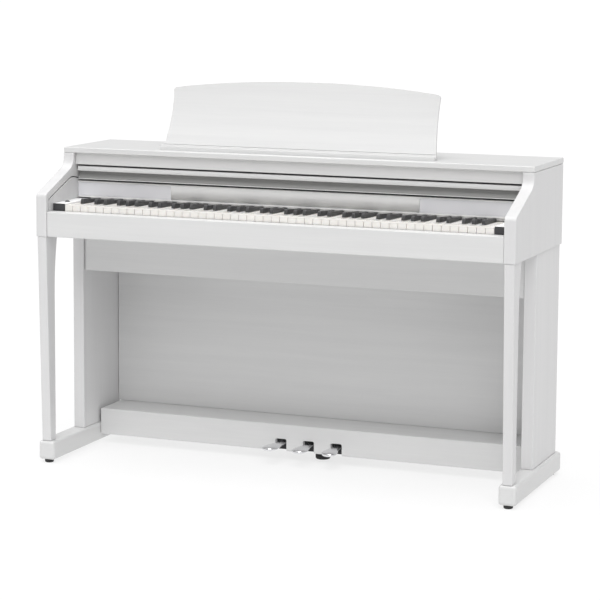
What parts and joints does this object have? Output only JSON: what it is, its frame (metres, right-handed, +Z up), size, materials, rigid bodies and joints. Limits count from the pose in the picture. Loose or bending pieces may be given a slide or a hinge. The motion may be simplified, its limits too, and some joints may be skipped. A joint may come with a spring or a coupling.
{
  "type": "digital piano on stand",
  "caption": "Full-size digital piano on a white wooden stand, with a sliding key cover, folding music rest and pedal box.",
  "frame": {"origin": "on the floor, under the middle of the overall box", "axes": "+X to the player's right, +Z up, -Y towards the player"},
  "size_m": [1.3738, 0.4606, 1.0612],
  "materials": {
    "left_side_panel": "satin white over a faint wood grain",
    "right_side_panel": "satin white over a faint wood grain",
    "top_board": "satin white over a faint wood grain",
    "upper_fascia": "satin white over a faint wood grain",
    "key_slip": "satin white over a faint wood grain",
    "key_bed": "satin white over a faint wood grain",
    "rear_cover": "dark charcoal plastic",
    "control_panel": "white plastic",
    "left_control_inlay": "light grey plastic",
    "right_control_inlay": "light grey plastic",
    "left_cheek_block": "white plastic",
    "right_cheek_block": "white plastic",
    "key_chassis": "dark charcoal plastic",
    "main_circuit_board": "green board",
    "rear_connector_plate": "dark charcoal plastic",
    "speaker_box": "satin white over a faint wood grain",
    "left_speaker": "dark charcoal plastic",
    "right_speaker": "dark charcoal plastic",
    "left_stand_board": "satin white over a faint wood grain",
    "right_stand_board": "satin white over a faint wood grain",
    "left_front_leg": "satin white over a faint wood grain",
    "right_front_leg": "satin white over a faint wood grain",
    "left_foot_runner": "satin white over a faint wood grain",
    "right_foot_runner": "satin white over a faint wood grain",
    "left_front_glide": "black rubber",
    "left_rear_glide": "black rubber",
    "right_front_glide": "black rubber",
    "right_rear_glide": "black rubber",
    "back_board": "satin white over a faint wood grain",
    "pedal_box": "satin white over a faint wood grain",
    "music_rest_ledge": "satin white over a faint wood grain",
    "key_cover_rear": "satin white",
    "key_cover_front": "satin white",
    "volume_slider": "dark charcoal plastic",
    "power_button": "dark charcoal plastic",
    "left_pedal": "polished silver-coloured metal",
    "middle_pedal": "polished silver-coloured metal",
    "right_pedal": "polished silver-coloured metal",
    "pedal_adjuster": "black rubber",
    "music_rest_panel": "satin white over a faint wood grain",
    "music_rest_brace": "plain steel",
    "key_C4": "warm white key covering",
    "key_Cs4": "satin black",
    "key_D4": "warm white key covering",
    "key_Ds4": "satin black",
    "key_E4": "warm white key covering",
    "key_F4": "warm white key covering",
    "key_Fs4": "satin black",
    "key_G4": "warm white key covering",
    "key_Gs4": "satin black",
    "key_A4": "warm white key covering",
    "key_As4": "satin black",
    "key_B4": "warm white key covering",
    "keys_A0_to_B1": "warm white naturals with satin black sharps",
    "keys_C2_to_B2": "warm white naturals with satin black sharps",
    "keys_C3_to_B3": "warm white naturals with satin black sharps",
    "keys_C5_to_B5": "warm white naturals with satin black sharps",
    "keys_C6_to_B6": "warm white naturals with satin black sharps",
    "keys_C7_to_C8": "warm white naturals with satin black sharps"
  },
  "bodies": {
    "piano": {"left_side_panel": "left_side_panel", "right_side_panel": "right_side_panel", "top_board": "top_board", "upper_fascia": "upper_fascia", "key_slip": "key_slip", "key_bed": "key_bed", "rear_cover": "rear_cover", "control_panel": "control_panel", "left_control_inlay": "left_control_inlay", "right_control_inlay": "right_control_inlay", "left_cheek_block": "left_cheek_block", "right_cheek_block": "right_cheek_block", "key_chassis": "key_chassis", "main_circuit_board": "main_circuit_board", "rear_connector_plate": "rear_connector_plate", "speaker_box": "speaker_box", "left_speaker": "left_speaker", "right_speaker": "right_speaker", "left_stand_board": "left_stand_board", "right_stand_board": "right_stand_board", "left_front_leg": "left_front_leg", "right_front_leg": "right_front_leg", "left_foot_runner": "left_foot_runner", "right_foot_runner": "right_foot_runner", "left_front_glide": "left_front_glide", "left_rear_glide": "left_rear_glide", "right_front_glide": "right_front_glide", "right_rear_glide": "right_rear_glide", "back_board": "back_board", "pedal_box": "pedal_box", "music_rest_ledge": "music_rest_ledge"},
    "key_cover_rear": {"key_cover_rear": "key_cover_rear"},
    "key_cover_front": {"key_cover_front": "key_cover_front"},
    "volume_slider": {"volume_slider": "volume_slider"},
    "power_button": {"power_button": "power_button"},
    "left_pedal": {"left_pedal": "left_pedal"},
    "middle_pedal": {"middle_pedal": "middle_pedal"},
    "right_pedal": {"right_pedal": "right_pedal"},
    "pedal_adjuster": {"pedal_adjuster": "pedal_adjuster"},
    "music_rest_panel": {"music_rest_panel": "music_rest_panel"},
    "music_rest_brace": {"music_rest_brace": "music_rest_brace"},
    "key_C4": {"key_C4": "key_C4"},
    "key_Cs4": {"key_Cs4": "key_Cs4"},
    "key_D4": {"key_D4": "key_D4"},
    "key_Ds4": {"key_Ds4": "key_Ds4"},
    "key_E4": {"key_E4": "key_E4"},
    "key_F4": {"key_F4": "key_F4"},
    "key_Fs4": {"key_Fs4": "key_Fs4"},
    "key_G4": {"key_G4": "key_G4"},
    "key_Gs4": {"key_Gs4": "key_Gs4"},
    "key_A4": {"key_A4": "key_A4"},
    "key_As4": {"key_As4": "key_As4"},
    "key_B4": {"key_B4": "key_B4"},
    "keys_A0_to_B1": {"keys_A0_to_B1": "keys_A0_to_B1"},
    "keys_C2_to_B2": {"keys_C2_to_B2": "keys_C2_to_B2"},
    "keys_C3_to_B3": {"keys_C3_to_B3": "keys_C3_to_B3"},
    "keys_C5_to_B5": {"keys_C5_to_B5": "keys_C5_to_B5"},
    "keys_C6_to_B6": {"keys_C6_to_B6": "keys_C6_to_B6"},
    "keys_C7_to_C8": {"keys_C7_to_C8": "keys_C7_to_C8"}
  },
  "joints": [
    {"name": "key_cover_slide", "type": "slide", "parent": "piano", "child": "key_cover_rear", "axis": [0, -1, 0], "range_m": [0, 0.188]},
    {"name": "key_cover_hinge", "type": "hinge", "parent": "key_cover_rear", "child": "key_cover_front", "pos_m": [0, 0.13775, 0.8125], "axis": [1, 0, 0], "range_deg": [0, 19.61]},
    {"name": "volume_slide", "type": "slide", "parent": "piano", "child": "volume_slider", "axis": [0, 1, 0], "range_m": [0, 0.018]},
    {"name": "power_press", "type": "slide", "parent": "piano", "child": "power_button", "axis": [0, 0, -1], "range_m": [0, 0.0015], "stiffness_N_per_m": 400, "springref_m": -0.002},
    {"name": "left_pedal_hinge", "type": "hinge", "parent": "piano", "child": "left_pedal", "pos_m": [-0.0755, 0.11475, 0.05], "axis": [1, 0, 0], "range_deg": [0, 4.5], "stiffness_Nm_per_rad": 30, "springref_deg": -5.73},
    {"name": "middle_pedal_hinge", "type": "hinge", "parent": "piano", "child": "middle_pedal", "pos_m": [0.007, 0.11475, 0.05], "axis": [1, 0, 0], "range_deg": [0, 4.5], "stiffness_Nm_per_rad": 30, "springref_deg": -5.73},
    {"name": "right_pedal_hinge", "type": "hinge", "parent": "piano", "child": "right_pedal", "pos_m": [0.0895, 0.11475, 0.05], "axis": [1, 0, 0], "range_deg": [0, 4.5], "stiffness_Nm_per_rad": 30, "springref_deg": -5.73},
    {"name": "adjuster_screw", "type": "slide", "parent": "piano", "child": "pedal_adjuster", "axis": [0, 0, 1], "range_m": [0, 0.01]},
    {"name": "music_rest_hinge", "type": "hinge", "parent": "piano", "child": "music_rest_panel", "pos_m": [0, -0.01325, 0.8819], "axis": [-1, 0, 0], "range_deg": [0, 65]},
    {"name": "rest_brace_hinge", "type": "hinge", "parent": "music_rest_panel", "child": "music_rest_brace", "pos_m": [0, 0.02745, 0.9525], "axis": [1, 0, 0], "range_deg": [0, 115.75]},
    {"name": "key_C4_hinge", "type": "hinge", "parent": "piano", "child": "key_C4", "pos_m": [-0.06302, 0.03175, 0.7109], "axis": [1, 0, 0], "range_deg": [0, 2.6], "stiffness_Nm_per_rad": 1.5, "springref_deg": -14.32},
    {"name": "key_Cs4_hinge", "type": "hinge", "parent": "piano", "child": "key_Cs4", "pos_m": [-0.04913, 0.03175, 0.7109], "axis": [1, 0, 0], "range_deg": [0, 2.6], "stiffness_Nm_per_rad": 1.5, "springref_deg": -14.32},
    {"name": "key_D4_hinge", "type": "hinge", "parent": "piano", "child": "key_D4", "pos_m": [-0.03525, 0.03175, 0.7109], "axis": [1, 0, 0], "range_deg": [0, 2.6], "stiffness_Nm_per_rad": 1.5, "springref_deg": -14.32},
    {"name": "key_Ds4_hinge", "type": "hinge", "parent": "piano", "child": "key_Ds4", "pos_m": [-0.02137, 0.03175, 0.7109], "axis": [1, 0, 0], "range_deg": [0, 2.6], "stiffness_Nm_per_rad": 1.5, "springref_deg": -14.32},
    {"name": "key_E4_hinge", "type": "hinge", "parent": "piano", "child": "key_E4", "pos_m": [-0.00748, 0.03175, 0.7109], "axis": [1, 0, 0], "range_deg": [0, 2.6], "stiffness_Nm_per_rad": 1.5, "springref_deg": -14.32},
    {"name": "key_F4_hinge", "type": "hinge", "parent": "piano", "child": "key_F4", "pos_m": [0.00695, 0.03175, 0.7109], "axis": [1, 0, 0], "range_deg": [0, 2.6], "stiffness_Nm_per_rad": 1.5, "springref_deg": -14.32},
    {"name": "key_Fs4_hinge", "type": "hinge", "parent": "piano", "child": "key_Fs4", "pos_m": [0.0203, 0.03175, 0.7109], "axis": [1, 0, 0], "range_deg": [0, 2.6], "stiffness_Nm_per_rad": 1.5, "springref_deg": -14.32},
    {"name": "key_G4_hinge", "type": "hinge", "parent": "piano", "child": "key_G4", "pos_m": [0.03365, 0.03175, 0.7109], "axis": [1, 0, 0], "range_deg": [0, 2.6], "stiffness_Nm_per_rad": 1.5, "springref_deg": -14.32},
    {"name": "key_Gs4_hinge", "type": "hinge", "parent": "piano", "child": "key_Gs4", "pos_m": [0.047, 0.03175, 0.7109], "axis": [1, 0, 0], "range_deg": [0, 2.6], "stiffness_Nm_per_rad": 1.5, "springref_deg": -14.32},
    {"name": "key_A4_hinge", "type": "hinge", "parent": "piano", "child": "key_A4", "pos_m": [0.06035, 0.03175, 0.7109], "axis": [1, 0, 0], "range_deg": [0, 2.6], "stiffness_Nm_per_rad": 1.5, "springref_deg": -14.32},
    {"name": "key_As4_hinge", "type": "hinge", "parent": "piano", "child": "key_As4", "pos_m": [0.0737, 0.03175, 0.7109], "axis": [1, 0, 0], "range_deg": [0, 2.6], "stiffness_Nm_per_rad": 1.5, "springref_deg": -14.32},
    {"name": "key_B4_hinge", "type": "hinge", "parent": "piano", "child": "key_B4", "pos_m": [0.08705, 0.03175, 0.7109], "axis": [1, 0, 0], "range_deg": [0, 2.6], "stiffness_Nm_per_rad": 1.5, "springref_deg": -14.32},
    {"name": "keys_A0_to_B1_hinge", "type": "hinge", "parent": "piano", "child": "keys_A0_to_B1", "pos_m": [0, 0.03175, 0.7109], "axis": [1, 0, 0], "range_deg": [0, 2.6], "stiffness_Nm_per_rad": 22.5, "springref_deg": -14.32},
    {"name": "keys_C2_to_B2_hinge", "type": "hinge", "parent": "piano", "child": "keys_C2_to_B2", "pos_m": [0, 0.03175, 0.7109], "axis": [1, 0, 0], "range_deg": [0, 2.6], "stiffness_Nm_per_rad": 18, "springref_deg": -14.32},
    {"name": "keys_C3_to_B3_hinge", "type": "hinge", "parent": "piano", "child": "keys_C3_to_B3", "pos_m": [0, 0.03175, 0.7109], "axis": [1, 0, 0], "range_deg": [0, 2.6], "stiffness_Nm_per_rad": 18, "springref_deg": -14.32},
    {"name": "keys_C5_to_B5_hinge", "type": "hinge", "parent": "piano", "child": "keys_C5_to_B5", "pos_m": [0, 0.03175, 0.7109], "axis": [1, 0, 0], "range_deg": [0, 2.6], "stiffness_Nm_per_rad": 18, "springref_deg": -14.32},
    {"name": "keys_C6_to_B6_hinge", "type": "hinge", "parent": "piano", "child": "keys_C6_to_B6", "pos_m": [0, 0.03175, 0.7109], "axis": [1, 0, 0], "range_deg": [0, 2.6], "stiffness_Nm_per_rad": 18, "springref_deg": -14.32},
    {"name": "keys_C7_to_C8_hinge", "type": "hinge", "parent": "piano", "child": "keys_C7_to_C8", "pos_m": [0, 0.03175, 0.7109], "axis": [1, 0, 0], "range_deg": [0, 2.6], "stiffness_Nm_per_rad": 19.5, "springref_deg": -14.32}
  ],
  "couplings": [
    {"joint": "key_cover_hinge", "follows": "key_cover_slide", "rad_per_m": 1.8196},
    {"joint": "rest_brace_hinge", "follows": "music_rest_hinge", "ratio": 1.78}
  ]
}
